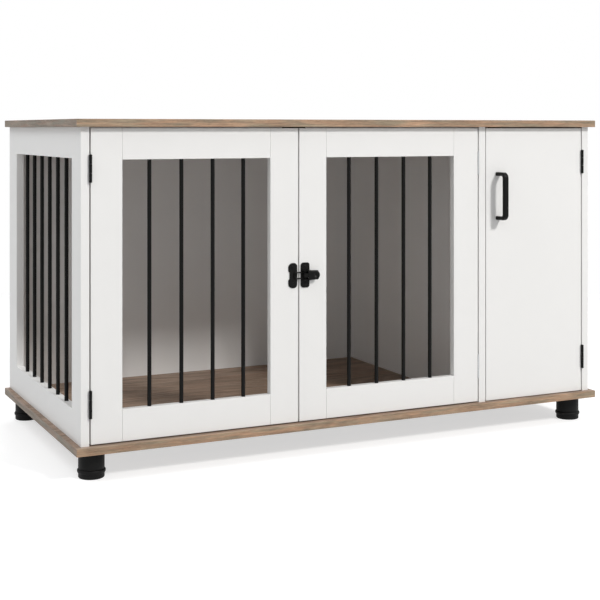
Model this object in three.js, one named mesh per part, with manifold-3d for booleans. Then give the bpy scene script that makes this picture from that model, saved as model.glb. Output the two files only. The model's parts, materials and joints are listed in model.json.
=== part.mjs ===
// A dog crate that doubles as an end table: a long low cabinet with a barred double-door crate on
// the left, a closed storage cupboard on the right, and a wood-grain board above and below.
// Millimetres, +Z up. X runs to the right along the front and Y runs towards the back.
// The origin is on the floor, in the middle of the whole outline, pull included.

import * as THREE from 'three';
import { ConvexGeometry } from 'three/addons/geometries/ConvexGeometry.js';
import { mergeVertices } from 'three/addons/utils/BufferGeometryUtils.js';
import Module from 'manifold-3d';

const wasm = await Module();
wasm.setup();

// ---------------------------------------------------------------------------------------------
// Driving dimensions
// ---------------------------------------------------------------------------------------------

const seat = 0.3; // clearance between a piece and what it rests on, fits into or turns on
const overrun = 1; // how far a cutter runs past the face that it opens

// Cabinet
const crateWidth = 866.75; // clear width of the crate, left panel to divider
const storageWidth = 261.75; // clear width of the cupboard, divider to right panel
const bodyDepth = 597; // front face to rear edge
const bodyHeight = 597; // between the base board and the top board
const boardThickness = 15; // top and base boards
const boardFrontOverhang = 12;
const boardSideOverhang = 11;
const panelThickness = 16.5; // upright panels
const backThickness = 5;
const backInset = 1; // rear face of the back panel to the rear edges
const edgeEase = 0.8; // small flat taken off the edges of every board

// Window of the left side panel
const sideStileFront = 62.5;
const sideStileRear = 71;
const sideRailTop = 60;
const sideRailBottom = 60.3;

// Bars
const barDiameter = 8;
const barPitch = 65;
const sideBarCount = 6;
const doorBarCount = 4;
const barSocket = 10; // depth of the blind hole at each end of a bar

// Doors, all inset and flush with the front edges of the panels
const doorThickness = 15;
const doorGapTop = 2.5;
const doorGapBottom = 2.5;
const storageGapBottom = 1.4; // the storage door reaches a little lower than the crate doors
const hingeGap = 3;
const seamGap = 3; // between the two crate doors
const pullSideGap = 2; // storage door to divider
const stileWidth = 61;
const doorRailTop = 59.5;
const doorRailBottom = 60.3;
const frameEase = 0.4;

// Butt hinges: the leaves stand in the gap and only the knuckles show
const hingeHeight = 52;
const hingeInset = 49.5; // end of the door to end of the hinge
const leafDepth = 12.5; // how far a leaf reaches in behind the face
const knuckleRadius = 3; // and height of the hinge's axis above the face of the door
const knucklePinRadius = 1.3;
const sunkKnuckleRadius = 1.9; // hinges of the middle door, sunk between stile and divider
const sunkKnuckleProud = 0.3;
const sunkPinRadius = 0.8;

// Toggle latch on the two crate doors
const latchDrop = 0.9; // its middle below the middle of the doors
const latchPlateWidth = 19.5;
const latchPlateHeight = 50.6;
const latchPlateOffset = 4; // middle of the seam to the near edge of each plate
const latchPlateThickness = 1.5;
const latchPlateRadius = 6.5;
const latchPlateEase = 0.3;
const latchWaistDepth = 1.8;
const latchWaistHeight = 17;
const fulcrumInset = 4.5; // near edge of its plate to the lever's pins
const fulcrumHeight = 5.2; // top of its plate to the lever's pins
const fulcrumPinRadius = 1;
const pinHeadProud = 0.4; // what the pins and the bail's ends stand out of the lever
const bailThrow = 4; // lever's pins to the bail's pivot, along the lever
const bailDrop = 2.4; // and towards the door
const bailWireRadius = 1.2;
const bailLegSpacing = 12;
const bailSlack = 1.7; // bail to hook when closed: the stroke over the centre
const earThickness = 0.8;
const leverOpenAngle = 120; // degrees
const leverPlateThickness = 0.95;
const leverLength = 33.7; // from the lever's pins to its rounded end
const leverHeadRadius = 3.6;
const leverHeelReach = 1.75; // from the lever's pins to the start of its flat lower edge
const leverKneeReach = 18.5; // and to where that edge begins to rise
const leverTipRise = 5; // the tip's thin edge stands this far above the flanges' lower edge
const leverEndBulge = 3;
const tongueOverhang = 1; // of the tongue between the bail's legs, past the lever's pins
const dimpleRadius = 3.2;
const dimpleFloorRadius = 2.4;
const dimpleDepth = 0.4;
const dimpleDistance = 11; // from the lever's rounded end
const hookInset = 4; // near edge of its plate to the hook's root
const hookSideGap = 0.9; // hook to each leg of the bail
const hookThickness = 1.4;
const hookRise = 4.5; // hook's top above the keeper plate
const hookLean = 12; // degrees, away from the seam

// Bar pull of the storage door
const pullPitch = 96; // between the fixing screws
const pullStrap = 8; // thickness of the bent strap
const pullWidth = 12;
const pullProjection = 32.5;
const pullBendRadius = 13;
const pullInnerRadius = 5;
const pullEdgeDistance = 31; // door edge to the middle of the pull
const pullTopDistance = 148; // door top to the middle of the pull
const pullEase = 0.9;

// Shelf in the storage cupboard
const shelfThickness = 15;
const shelfRise = 285; // its underside above the base board
const shelfSetback = 25; // its front edge behind the storage door

// Magnetic catches under the top board, and their strike plates on the doors
const catchHeight = 13;
const catchDepth = 14;
const doubleCatchWidth = 46;
const singleCatchWidth = 26;
const catchFreeGap = 0.6; // strike plate to magnet
const strikeWidth = 16;
const strikeHeight = 12;
const strikeThickness = 1;
const strikeEase = 0.2;
const strikeTopGap = 1; // door's top edge to the strike plate
const strikeSideGap = 2; // door's edge at the seam to the strike plate
const storageCatchDistance = 40; // divider to the middle of the storage catch

// Levelling feet
const footHeight = 52;
const footRadius = 25;
const footSideInset = 30.5; // outer faces of the side panels to a foot's centre
const footFrontInset = 35; // front face to a front foot's centre
const footRearInset = 36.5; // rear edges to a back foot's centre
const footEdgeRadius = 2.5;
const collarRise = 13.4; // floor to the middle of the collar
const collarHalfHeight = 3.6;
const collarProud = 2.2;
const studRadius = 5;
const socketRoof = 5.8; // material above the blind hole that the stud goes into
const studEndGap = 1.5; // left above the stud in that hole

// Facets
const barSides = 16;
const knuckleSides = 16;
const wireSides = 10;
const footSides = 28;
const bendSteps = 6; // bends of the pull, and the feet's collars
const cornerSteps = 4; // corners of the latch plates
const archSteps = 8; // ears, head and end of the latch's lever
const footEdgeSteps = 3;

// ---------------------------------------------------------------------------------------------
// Places worked out from them
// ---------------------------------------------------------------------------------------------

const bodyWidth = crateWidth + storageWidth + 3 * panelThickness;
const leftX = -bodyWidth / 2;
const rightX = bodyWidth / 2;
const frontY = -(bodyDepth - pullProjection - seat) / 2;
const rearY = frontY + bodyDepth;
const baseTopZ = footHeight + boardThickness;
const undersideZ = baseTopZ + bodyHeight;

const crateLeftX = leftX + panelThickness;
const dividerLeftX = crateLeftX + crateWidth;
const dividerRightX = dividerLeftX + panelThickness;
const storageRightX = rightX - panelThickness;
const backFrontY = rearY - backInset - backThickness;

const doorBottomZ = baseTopZ + doorGapBottom;
const doorTopZ = undersideZ - doorGapTop;
const doorBackY = frontY + doorThickness;
const crateDoorWidth = (crateWidth - 2 * hingeGap - seamGap) / 2;
const leftDoorX = crateLeftX + hingeGap;
const middleDoorX = leftDoorX + crateDoorWidth + seamGap;
const seamX = middleDoorX - seamGap / 2;
const storageDoorX = dividerRightX + pullSideGap;
const storageDoorEndX = storageRightX - hingeGap;

// Lower ends of the two hinges of every door
const hingePlaces = [doorBottomZ + hingeInset, doorTopZ - hingeInset - hingeHeight];

// ---------------------------------------------------------------------------------------------
// Finishes
// ---------------------------------------------------------------------------------------------

const finish = (color, roughness, metalness) =>
  new THREE.MeshStandardMaterial({ color, roughness, metalness });

const whitePaint = finish(0xeeeeec, 0.45, 0);
const woodGrain = finish(0x9e8468, 0.6, 0);
const blackMetal = finish(0x1d1d1d, 0.45, 0.6);
const zincMetal = finish(0x8e9092, 0.4, 0.8);
const blackPlastic = finish(0x1a1a1a, 0.55, 0);
const steelPlate = finish(0xa9abad, 0.35, 0.9);

// ---------------------------------------------------------------------------------------------
// Solid helpers
// ---------------------------------------------------------------------------------------------

// A closed geometry as a solid that can be joined and cut
function solidOf(geometry) {
  const plain = new THREE.BufferGeometry();
  plain.setAttribute('position', geometry.getAttribute('position'));
  plain.setIndex(geometry.getIndex());
  const merged = mergeVertices(plain);
  const vertProperties = new Float32Array(merged.getAttribute('position').array);
  const triVerts = new Uint32Array(merged.getIndex().array);
  return new wasm.Manifold(new wasm.Mesh({ numProp: 3, vertProperties, triVerts }));
}

// A solid back as a geometry
function geometryOf(solid) {
  const mesh = solid.getMesh();
  const geometry = new THREE.BufferGeometry();
  const points = new Float32Array(mesh.vertProperties);
  geometry.setAttribute('position', new THREE.BufferAttribute(points, 3));
  geometry.setIndex(new THREE.BufferAttribute(new Uint32Array(mesh.triVerts), 1));
  geometry.computeVertexNormals();
  return geometry;
}

function joined(geometries) {
  const solids = geometries.map(solidOf);
  return geometryOf(solids.reduce((whole, next) => whole.add(next)));
}

function cut(geometry, cutters) {
  const whole = solidOf(geometry);
  return geometryOf(cutters.map(solidOf).reduce((rest, next) => rest.subtract(next), whole));
}

// A box between two corners, each given as a [low, high] pair for x, y and z
function plainBox(x, y, z) {
  const box = new THREE.BoxGeometry(x[1] - x[0], y[1] - y[0], z[1] - z[0]);
  return box.translate((x[0] + x[1]) / 2, (y[0] + y[1]) / 2, (z[0] + z[1]) / 2);
}

// The same box with a small flat along every edge: three points stand for each corner
function easedBox(x, y, z, ease) {
  const points = [];
  for (const i of [0, 1]) {
    for (const j of [0, 1]) {
      for (const k of [0, 1]) {
        const corner = new THREE.Vector3(x[i], y[j], z[k]);
        const inward = new THREE.Vector3(1 - 2 * i, 1 - 2 * j, 1 - 2 * k).multiplyScalar(ease);
        for (const kept of ['x', 'y', 'z']) {
          points.push(corner.clone().add(inward.clone().setComponent('xyz'.indexOf(kept), 0)));
        }
      }
    }
  }
  return new ConvexGeometry(points);
}

// A round bar from one point to another
function rod(from, to, radius, sides) {
  const start = new THREE.Vector3(...from);
  const end = new THREE.Vector3(...to);
  const along = end.clone().sub(start);
  const turn = new THREE.Quaternion();
  turn.setFromUnitVectors(new THREE.Vector3(0, 1, 0), along.clone().normalize());
  const cylinder = new THREE.CylinderGeometry(radius, radius, along.length(), sides);
  cylinder.applyQuaternion(turn);
  return cylinder.translate(...start.add(end).multiplyScalar(0.5).toArray());
}

// A flat outline made a plate of the given thickness, with its edges eased on both faces
function plateOf(shape, thickness, ease, steps) {
  return new THREE.ExtrudeGeometry(shape, {
    depth: thickness - 2 * ease,
    bevelEnabled: ease > 0,
    bevelThickness: ease,
    bevelSize: ease,
    bevelOffset: -ease,
    bevelSegments: 1,
    curveSegments: steps,
  });
}

// A plate with its outline in X and Z, from the y of its front to the y of its back
function plateAlongY(shape, yFront, yBack, ease, steps) {
  const plate = plateOf(shape, yBack - yFront, ease, steps);
  plate.rotateX(Math.PI / 2);
  return plate.translate(0, yBack - ease, 0);
}

// A plate with its outline in Y and Z, from one x to another
function plateAlongX(shape, xLow, xHigh, ease, steps) {
  const plate = plateOf(shape, xHigh - xLow, ease, steps);
  plate.rotateY(Math.PI / 2);
  plate.rotateX(Math.PI / 2);
  return plate.translate(xLow + ease, 0, 0);
}

// Points of an arc about a centre, of a circle or an ellipse, from one angle to another in degrees
function arcPoints(centreA, centreB, radiusA, radiusB, fromDegrees, toDegrees, steps) {
  return Array.from({ length: steps + 1 }, (_, i) => {
    const angle = THREE.MathUtils.degToRad(fromDegrees + ((toDegrees - fromDegrees) * i) / steps);
    return [centreA + radiusA * Math.cos(angle), centreB + radiusB * Math.sin(angle)];
  });
}

// ---------------------------------------------------------------------------------------------
// Scene graph helpers
// ---------------------------------------------------------------------------------------------

const crate = new THREE.Group();

// A group whose own origin is the axis that its pieces turn about, or slide along
function movingGroup(parent, x, y, z) {
  const group = new THREE.Group();
  group.position.set(x, y, z).sub(parent.getWorldPosition(new THREE.Vector3()));
  parent.add(group);
  group.updateWorldMatrix(true, false);
  return group;
}

// A named piece: its geometry is moved to its own centre, and the mesh is placed there
function addPiece(parent, name, material, geometry) {
  geometry.computeBoundingBox();
  const centre = geometry.boundingBox.getCenter(new THREE.Vector3());
  geometry.translate(-centre.x, -centre.y, -centre.z);
  const mesh = new THREE.Mesh(geometry, material);
  mesh.name = name;
  mesh.position.copy(centre).sub(parent.getWorldPosition(new THREE.Vector3()));
  parent.add(mesh);
}

// ---------------------------------------------------------------------------------------------
// Boards and panels
// ---------------------------------------------------------------------------------------------

// Centre lines of a row of bars, spread evenly about the middle of an opening
function barPlaces(low, high, count) {
  const middle = (low + high) / 2;
  return Array.from({ length: count }, (_, i) => middle + (i - (count - 1) / 2) * barPitch);
}

// A bar, or the hole that it goes into when the clearance is given
function barShape(x, y, openingLow, openingHigh, clearance) {
  const from = [x, y, openingLow - barSocket - clearance];
  const to = [x, y, openingHigh + barSocket + clearance];
  return rod(from, to, barDiameter / 2 + clearance, barSides);
}

function makeBoards() {
  const x = [leftX - boardSideOverhang, rightX + boardSideOverhang];
  const y = [frontY - boardFrontOverhang, rearY];
  const top = easedBox(x, y, [undersideZ, undersideZ + boardThickness], edgeEase);
  const base = easedBox(x, y, [baseTopZ - boardThickness, baseTopZ], edgeEase);
  addPiece(crate, 'top_board', woodGrain, top);
  addPiece(crate, 'base_board', woodGrain, base);
}

function makeLeftPanel() {
  const z = [baseTopZ + seat, undersideZ - seat];
  const panel = easedBox([leftX, crateLeftX], [frontY, rearY], z, edgeEase);
  const windowY = [frontY + sideStileFront, rearY - sideStileRear];
  const windowZ = [baseTopZ + sideRailBottom, undersideZ - sideRailTop];
  const window = plainBox([leftX - overrun, crateLeftX + overrun], windowY, windowZ);
  const barX = (leftX + crateLeftX) / 2;
  const places = barPlaces(windowY[0], windowY[1], sideBarCount);
  const holes = places.map((y) => barShape(barX, y, ...windowZ, seat));
  addPiece(crate, 'left_side_panel', whitePaint, cut(panel, [window, ...holes]));
  places.forEach((y, i) => {
    addPiece(crate, `side_bar_${i + 1}`, blackMetal, barShape(barX, y, ...windowZ, 0));
  });
}

function makeInnerPanels() {
  const z = [baseTopZ + seat, undersideZ - seat];
  const right = easedBox([storageRightX, rightX], [frontY, rearY], z, edgeEase);
  addPiece(crate, 'right_side_panel', whitePaint, right);

  const dividerY = [frontY, backFrontY - seat];
  const divider = easedBox([dividerLeftX, dividerRightX], dividerY, z, edgeEase);
  addPiece(crate, 'divider_panel', whitePaint, cut(divider, hingePlaces.map(sunkNotch)));

  const backX = [crateLeftX + seat, storageRightX - seat];
  const back = easedBox(backX, [backFrontY, backFrontY + backThickness], z, edgeEase);
  addPiece(crate, 'back_panel', whitePaint, back);

  const shelfX = [dividerRightX + seat, storageRightX - seat];
  const shelfY = [doorBackY + shelfSetback, backFrontY - seat];
  const shelfZ = [baseTopZ + shelfRise, baseTopZ + shelfRise + shelfThickness];
  addPiece(crate, 'storage_shelf', whitePaint, easedBox(shelfX, shelfY, shelfZ, edgeEase));
}

// ---------------------------------------------------------------------------------------------
// Hinges
// ---------------------------------------------------------------------------------------------

const proudHinge = {
  material: blackMetal,
  radius: knuckleRadius,
  proud: knuckleRadius,
  pinRadius: knucklePinRadius,
};
const sunkHinge = {
  material: zincMetal,
  radius: sunkKnuckleRadius,
  proud: sunkKnuckleProud,
  pinRadius: sunkPinRadius,
};

// The rounded recess that a sunk hinge's knuckles turn in, cut into the stile and the divider
function sunkNotch(low) {
  const x = dividerLeftX - hingeGap / 2;
  const y = frontY - sunkHinge.proud;
  const from = [x, y, low - seat];
  const to = [x, y, low + hingeHeight + seat];
  return rod(from, to, sunkHinge.radius + seat, knuckleSides);
}

// One hinge in two pieces: the fixed leaf has the outer knuckles and the pin, and the moving leaf
// has the middle knuckle. The panel lies on the side given, -1 for left and 1 for right.
function makeHinge(name, doorGroup, style, axisX, panelSide, low) {
  const { material, radius, pinRadius } = style;
  const axisY = frontY - style.proud;
  const high = low + hingeHeight;
  const third = (hingeHeight - 2 * seat) / 3;
  const lowEnd = low + third;
  const highEnd = high - third;
  const leafFar = hingeGap / 2 - seat;
  const leafY = [axisY, frontY + leafDepth];
  const leafX = (side) => [axisX + side * seat, axisX + side * leafFar].sort((a, b) => a - b);
  const knuckle = (from, to, r) => rod([axisX, axisY, from], [axisX, axisY, to], r, knuckleSides);
  const clearance = (from, to) =>
    plainBox(
      [axisX - hingeGap, axisX + hingeGap],
      [axisY - radius, axisY + radius + seat],
      [from, to],
    );

  // Fixed leaf, notched round the middle knuckle
  const fixedLeaf = plainBox(leafX(panelSide), leafY, [low, high]);
  const fixed = joined([
    cut(fixedLeaf, [clearance(lowEnd, highEnd)]),
    knuckle(low, lowEnd, radius),
    knuckle(highEnd, high, radius),
    knuckle(low, high, pinRadius),
  ]);
  addPiece(crate, `${name}_fixed_leaf`, material, fixed);

  // Moving leaf, notched round the outer knuckles
  const movingLeaf = cut(plainBox(leafX(-panelSide), leafY, [low, high]), [
    clearance(low - overrun, lowEnd + seat),
    clearance(highEnd - seat, high + overrun),
  ]);
  const moving = joined([movingLeaf, knuckle(lowEnd + seat, highEnd - seat, radius)]);
  const bore = knuckle(low - overrun, high + overrun, pinRadius + seat);
  addPiece(doorGroup, `${name}_moving_leaf`, material, cut(moving, [bore]));
}

// The group of a door, which turns about its hinges' axis, with both hinges
function hangDoor(name, style, axisX, panelSide) {
  const group = movingGroup(crate, axisX, frontY - style.proud, doorBottomZ);
  hingePlaces.forEach((low, i) => {
    makeHinge(`${name}_${i ? 'upper' : 'lower'}_hinge`, group, style, axisX, panelSide, low);
  });
  return group;
}

// ---------------------------------------------------------------------------------------------
// Crate doors: two stiles, two rails between them, and bars planted in the rails
// ---------------------------------------------------------------------------------------------

function makeBarredDoor(name, group, x, hingeAtLeft, hingeStileCuts) {
  const y = [frontY, doorBackY];
  const innerX = [x + stileWidth, x + crateDoorWidth - stileWidth];
  const openingZ = [doorBottomZ + doorRailBottom, doorTopZ - doorRailTop];
  const barY = (frontY + doorBackY) / 2;

  const doorZ = [doorBottomZ, doorTopZ];
  const leftStile = easedBox([x, innerX[0]], y, doorZ, frameEase);
  const rightStile = easedBox([innerX[1], x + crateDoorWidth], y, doorZ, frameEase);
  const hingeStile = hingeAtLeft ? leftStile : rightStile;
  const latchStile = hingeAtLeft ? rightStile : leftStile;
  const shapedStile = hingeStileCuts.length ? cut(hingeStile, hingeStileCuts) : hingeStile;
  addPiece(group, `${name}_hinge_stile`, whitePaint, shapedStile);
  addPiece(group, `${name}_latch_stile`, whitePaint, latchStile);

  const places = barPlaces(innerX[0], innerX[1], doorBarCount);
  const holes = places.map((barX) => barShape(barX, barY, ...openingZ, seat));
  const railX = [innerX[0] + seat, innerX[1] - seat];
  const topRail = easedBox(railX, y, [openingZ[1], doorTopZ], frameEase);
  const bottomRail = easedBox(railX, y, [doorBottomZ, openingZ[0]], frameEase);
  addPiece(group, `${name}_top_rail`, whitePaint, cut(topRail, holes));
  addPiece(group, `${name}_bottom_rail`, whitePaint, cut(bottomRail, holes));
  places.forEach((barX, i) => {
    addPiece(group, `${name}_bar_${i + 1}`, blackMetal, barShape(barX, barY, ...openingZ, 0));
  });
}

// ---------------------------------------------------------------------------------------------
// Toggle latch. Places on it are given as u, away from the seam to the right, v, out from the
// face of the doors, and w, up from its middle.
// ---------------------------------------------------------------------------------------------

const latchZ = (doorBottomZ + doorTopZ) / 2 - latchDrop;
const plateTop = seat + latchPlateThickness;
const fulcrumReach = latchPlateOffset + fulcrumInset;
const fulcrumRise = plateTop + fulcrumHeight;
const hookReach = latchPlateOffset + hookInset;
const bailPivotU = fulcrumReach + bailThrow;
const bailPivotV = fulcrumRise - bailDrop;
const legW = bailLegSpacing / 2;
const earInnerW = legW + bailWireRadius + seat;
const earOuterW = earInnerW + earThickness;
const flangeInnerW = earOuterW + seat;
const flangeOuterW = flangeInnerW + leverPlateThickness;
const pinEndW = flangeOuterW + pinHeadProud;

const latchPoint = (u, v, w) => [seamX + u, frontY - v, latchZ + w];

// Outline of a latch plate in X and Z: round corners, and a waist on the side away from the seam
function latchPlate(side) {
  const half = latchPlateHeight / 2;
  const near = latchPlateOffset;
  const far = latchPlateOffset + latchPlateWidth;
  const r = latchPlateRadius;
  const waist = latchWaistHeight / 2;
  const at = (u, w) => [seamX + side * u, latchZ + w];
  const shape = new THREE.Shape();
  shape.moveTo(...at(near, -half + r / 2));
  shape.quadraticCurveTo(...at(near, -half), ...at(near + r, -half));
  shape.lineTo(...at(far - r, -half));
  shape.quadraticCurveTo(...at(far, -half), ...at(far, -half + r));
  shape.lineTo(...at(far, -waist - latchWaistDepth));
  shape.lineTo(...at(far - latchWaistDepth, -waist));
  shape.lineTo(...at(far - latchWaistDepth, waist));
  shape.lineTo(...at(far, waist + latchWaistDepth));
  shape.lineTo(...at(far, half - r));
  shape.quadraticCurveTo(...at(far, half), ...at(far - r, half));
  shape.lineTo(...at(near + r, half));
  shape.quadraticCurveTo(...at(near, half), ...at(near, half - r / 2));
  shape.closePath();
  return plateAlongY(shape, frontY - plateTop, frontY - seat, latchPlateEase, cornerSteps);
}

// A flat piece that stands across the latch: its outline is drawn in u and v
function acrossLatch(points, wLow, wHigh) {
  const shape = new THREE.Shape(points.map(([u, v]) => new THREE.Vector2(u, -v)));
  const plate = new THREE.ExtrudeGeometry(shape, { depth: wHigh - wLow, bevelEnabled: false });
  return plate.translate(seamX, frontY, latchZ + wLow);
}

// The lever turns on two short pins, one outside each ear, so the bail can swing between them
function fulcrumPin(side) {
  const from = latchPoint(fulcrumReach, fulcrumRise, side * (earInnerW + earThickness / 2));
  const to = latchPoint(fulcrumReach, fulcrumRise, side * pinEndW);
  return rod(from, to, fulcrumPinRadius, wireSides);
}

function makeLatchBase(group) {
  const earRadius = bailThrow - bailWireRadius - seat;
  const ear = [
    [fulcrumReach - earRadius, plateTop - latchPlateThickness / 2],
    [fulcrumReach + earRadius, plateTop - latchPlateThickness / 2],
    ...arcPoints(fulcrumReach, fulcrumRise, earRadius, earRadius, 0, 180, archSteps),
  ];
  const base = joined([
    latchPlate(1),
    acrossLatch(ear, earInnerW, earOuterW),
    acrossLatch(ear, -earOuterW, -earInnerW),
    fulcrumPin(1),
    fulcrumPin(-1),
  ]);
  addPiece(group, 'latch_base_plate', blackMetal, base);
}

function makeLatchLever(group) {
  const lowV = plateTop + 2 * seat;
  const highV = fulcrumRise + leverHeadRadius;
  const tipU = fulcrumReach + leverLength;
  const webLowV = highV - leverPlateThickness;
  const endU = tipU - leverEndBulge;
  const headR = leverHeadRadius;
  const flange = [
    ...arcPoints(fulcrumReach, fulcrumRise, headR, headR, 90, 240, archSteps),
    [fulcrumReach + leverHeelReach, lowV],
    [fulcrumReach + leverKneeReach, lowV],
    [endU, lowV + leverTipRise],
    [endU, highV],
  ];
  // The web starts clear of the bail's legs, which swing up beside it as the lever opens
  const legAngle = THREE.MathUtils.degToRad(180 - leverOpenAngle);
  const legShift = (highV - bailPivotV) / Math.tan(legAngle) + bailWireRadius / Math.sin(legAngle);
  const webStart = bailPivotU + legShift + seat;
  const strip = (from, to, halfW) =>
    acrossLatch(
      [
        [from, webLowV],
        [to, webLowV],
        [to, highV],
        [from, highV],
      ],
      -halfW,
      halfW,
    );
  const endX = seamX + endU;
  const bulge = new THREE.Shape();
  bulge.moveTo(endX - overrun, latchZ - flangeOuterW);
  bulge.lineTo(endX, latchZ - flangeOuterW);
  bulge.quadraticCurveTo(endX + 2 * leverEndBulge, latchZ, endX, latchZ + flangeOuterW);
  bulge.lineTo(endX - overrun, latchZ + flangeOuterW);
  bulge.closePath();
  const whole = joined([
    acrossLatch(flange, flangeInnerW, flangeOuterW),
    acrossLatch(flange, -flangeOuterW, -flangeInnerW),
    strip(webStart, endU, flangeOuterW),
    strip(fulcrumReach - tongueOverhang, webStart + overrun, legW - bailWireRadius - seat),
    plateAlongY(bulge, frontY - highV, frontY - webLowV, 0, archSteps),
  ]);
  const across = (u, v, radius) =>
    rod(latchPoint(u, v, -2 * pinEndW), latchPoint(u, v, 2 * pinEndW), radius, wireSides);
  const dimple = new THREE.CylinderGeometry(dimpleFloorRadius, dimpleRadius, 2 * dimpleDepth, barSides);
  dimple.translate(...latchPoint(tipU - dimpleDistance, highV, 0));
  const lever = cut(whole, [
    across(fulcrumReach, fulcrumRise, fulcrumPinRadius + seat),
    across(bailPivotU, bailPivotV, bailWireRadius + seat),
    dimple,
  ]);
  addPiece(group, 'latch_lever', blackMetal, lever);
}

function makeLatchBail(group) {
  const crossU = -hookReach - bailWireRadius - bailSlack;
  const crossV = plateTop + bailWireRadius + 2 * seat;
  const corners = [
    [bailPivotU, bailPivotV, pinEndW],
    [bailPivotU, bailPivotV, legW],
    [crossU, crossV, legW],
    [crossU, crossV, -legW],
    [bailPivotU, bailPivotV, -legW],
    [bailPivotU, bailPivotV, -pinEndW],
  ].map(([u, v, w]) => latchPoint(u, v, w));
  const straights = corners.slice(1).map((to, i) => rod(corners[i], to, bailWireRadius, wireSides));
  const elbows = corners.slice(1, -1).map((at) => {
    const elbow = new THREE.SphereGeometry(bailWireRadius, wireSides, wireSides / 2);
    return elbow.translate(...at);
  });
  addPiece(group, 'latch_bail', blackMetal, joined([...straights, ...elbows]));
}

function makeLatchKeeper(group) {
  const hookHalfWidth = legW - bailWireRadius - hookSideGap;
  const lean = Math.tan(THREE.MathUtils.degToRad(hookLean));
  const rootU = -hookReach;
  const rootV = plateTop - latchPlateThickness / 2;
  const topV = plateTop + hookRise;
  const shift = (v) => -lean * (v - plateTop);
  const hook = [
    [rootU + shift(rootV), rootV],
    [rootU + hookThickness + shift(rootV), rootV],
    [rootU + hookThickness + shift(topV), topV],
    [rootU + shift(topV), topV],
  ];
  const keeper = joined([latchPlate(-1), acrossLatch(hook, -hookHalfWidth, hookHalfWidth)]);
  addPiece(group, 'latch_keeper', blackMetal, keeper);
}

// ---------------------------------------------------------------------------------------------
// Storage door and its pull
// ---------------------------------------------------------------------------------------------

function makeStorageDoor(group) {
  const x = [storageDoorX, storageDoorEndX];
  const z = [baseTopZ + storageGapBottom, doorTopZ];
  const door = easedBox(x, [frontY, doorBackY], z, edgeEase);
  addPiece(group, 'storage_door', whitePaint, door);

  // The bent strap's outline in Y and Z, drawn as distance out from the door and height
  const half = (pullPitch + pullStrap) / 2;
  const inner = half - pullStrap;
  const reach = pullProjection;
  const innerReach = reach - pullStrap;
  const r = pullBendRadius;
  const innerR = pullInnerRadius;
  const shape = new THREE.Shape();
  shape.moveTo(0, -half);
  shape.lineTo(-(reach - r), -half);
  shape.absarc(-(reach - r), -half + r, r, -Math.PI / 2, -Math.PI, true);
  shape.lineTo(-reach, half - r);
  shape.absarc(-(reach - r), half - r, r, Math.PI, Math.PI / 2, true);
  shape.lineTo(0, half);
  shape.lineTo(0, inner);
  shape.lineTo(-(innerReach - innerR), inner);
  shape.absarc(-(innerReach - innerR), inner - innerR, innerR, Math.PI / 2, Math.PI, false);
  shape.lineTo(-innerReach, -(inner - innerR));
  shape.absarc(-(innerReach - innerR), -(inner - innerR), innerR, Math.PI, 1.5 * Math.PI, false);
  shape.lineTo(0, -inner);
  shape.closePath();
  const pullX = storageDoorX + pullEdgeDistance;
  const pull = plateAlongX(shape, pullX - pullWidth / 2, pullX + pullWidth / 2, pullEase, bendSteps);
  pull.translate(0, frontY - seat, doorTopZ - pullTopDistance);
  addPiece(group, 'storage_pull', blackMetal, pull);
}

// ---------------------------------------------------------------------------------------------
// Catches and strike plates
// ---------------------------------------------------------------------------------------------

const strikeBackY = doorBackY + seat + strikeThickness;

function makeCatch(name, x, width) {
  const y = [strikeBackY + catchFreeGap, strikeBackY + catchFreeGap + catchDepth];
  const z = [undersideZ - seat - catchHeight, undersideZ - seat];
  const box = easedBox([x - width / 2, x + width / 2], y, z, edgeEase);
  addPiece(crate, name, blackPlastic, box);
}

function makeStrike(group, name, x) {
  const top = doorTopZ - strikeTopGap;
  const plateX = [x - strikeWidth / 2, x + strikeWidth / 2];
  const plateY = [doorBackY + seat, strikeBackY];
  const plate = easedBox(plateX, plateY, [top - strikeHeight, top], strikeEase);
  addPiece(group, name, steelPlate, plate);
}

// ---------------------------------------------------------------------------------------------
// Feet: a socket under the base board and a glide with a collar that screws down out of it
// ---------------------------------------------------------------------------------------------

const glideTopZ = collarRise + collarHalfHeight;

function turned(profile, x, y) {
  const outline = profile.map(([radius, z]) => new THREE.Vector2(radius, z));
  const body = new THREE.LatheGeometry(outline, footSides);
  body.rotateX(Math.PI / 2);
  return body.translate(x, y, 0);
}

function makeFoot(name, x, y) {
  const socketLow = glideTopZ + seat;
  const socketHigh = footHeight - seat;
  const boreTop = socketHigh - socketRoof;
  const studTop = boreTop - studEndGap;
  const socket = turned(
    [
      [0, boreTop],
      [studRadius + seat, boreTop],
      [studRadius + seat, socketLow],
      [footRadius, socketLow],
      [footRadius, socketHigh],
      [0, socketHigh],
    ],
    x,
    y,
  );
  addPiece(crate, `${name}_foot_socket`, blackPlastic, socket);

  const edgeR = footEdgeRadius;
  const edge = arcPoints(footRadius - edgeR, edgeR, edgeR, edgeR, -90, 0, footEdgeSteps);
  const collarSize = [collarProud, collarHalfHeight];
  const collar = arcPoints(footRadius, collarRise, ...collarSize, -90, 90, bendSteps);
  const glide = turned(
    [
      [0, 0],
      ...edge,
      ...collar,
      [studRadius, glideTopZ],
      [studRadius, studTop],
      [0, studTop],
    ],
    x,
    y,
  );
  const group = movingGroup(crate, x, y, 0);
  addPiece(group, `${name}_foot_glide`, blackPlastic, glide);
}

// ---------------------------------------------------------------------------------------------
// The whole object
// ---------------------------------------------------------------------------------------------

makeBoards();
makeLeftPanel();
makeInnerPanels();

const leftDoor = hangDoor('left_door', proudHinge, crateLeftX + hingeGap / 2, -1);
makeBarredDoor('left_door', leftDoor, leftDoorX, true, []);

const middleDoor = hangDoor('middle_door', sunkHinge, dividerLeftX - hingeGap / 2, 1);
makeBarredDoor('middle_door', middleDoor, middleDoorX, false, hingePlaces.map(sunkNotch));

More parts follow.
